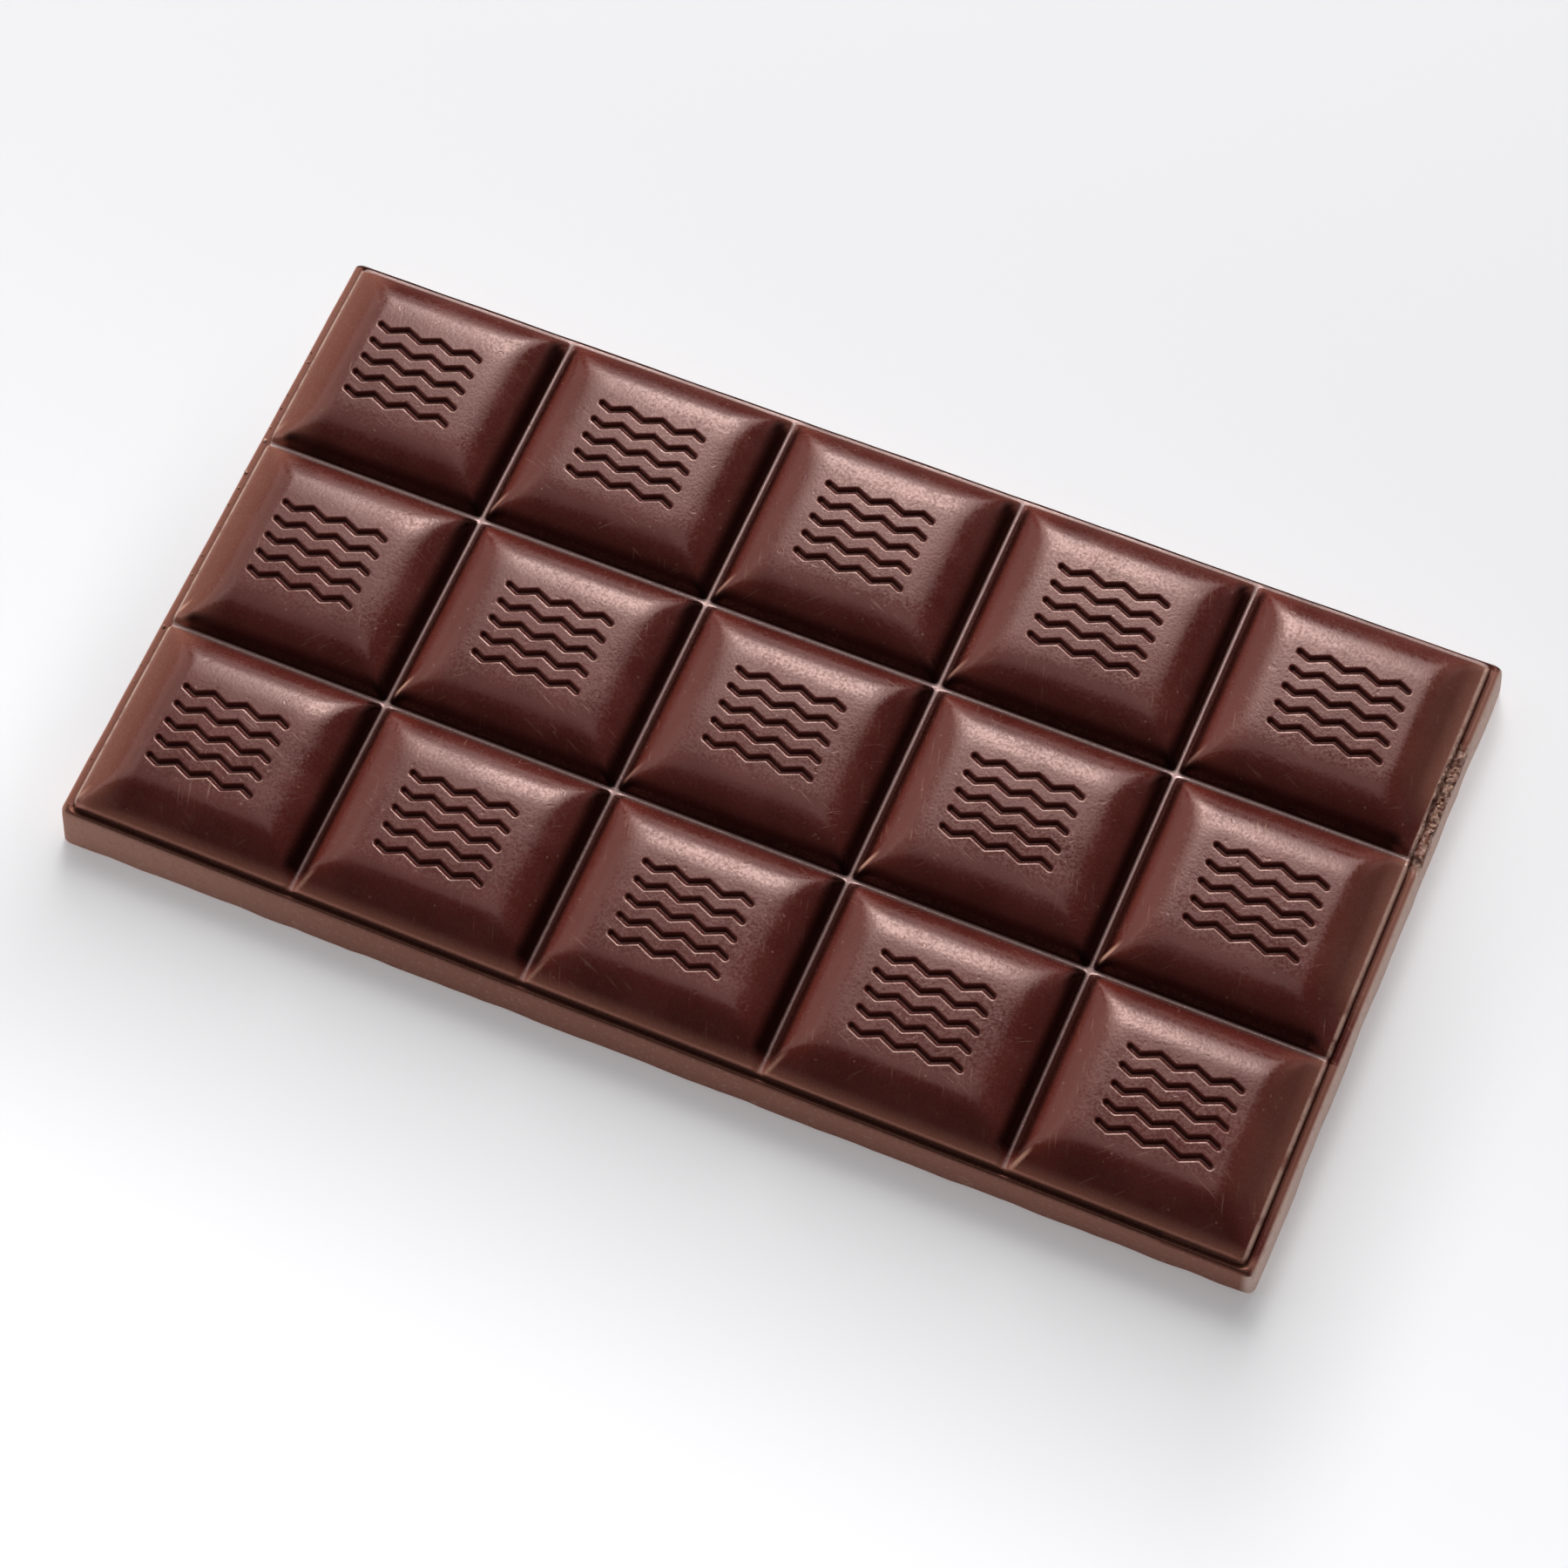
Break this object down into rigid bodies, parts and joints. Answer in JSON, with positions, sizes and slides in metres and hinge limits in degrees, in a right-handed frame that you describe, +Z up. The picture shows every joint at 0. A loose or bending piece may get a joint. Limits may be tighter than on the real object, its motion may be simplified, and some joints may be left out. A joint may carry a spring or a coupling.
{
  "type": "chocolate bar",
  "caption": "Moulded dark chocolate bar with domed squares, score lines to break it along and engraved wavy lines on every square",
  "frame": {"origin": "middle of the flat underside", "axes": "+X along the long side towards the end with the crumbled stretch of ledge, +Y across the bar, +Z up out of the squares"},
  "size_m": [0.141, 0.0776, 0.01],
  "materials": {
    "dark_chocolate": "satin dark chocolate straight from the mould, with a soft sheen, faint scratches and matte side walls"
  },
  "bodies": {
    "root": {"chocolate_bar": "dark_chocolate"}
  },
  "joints": []
}
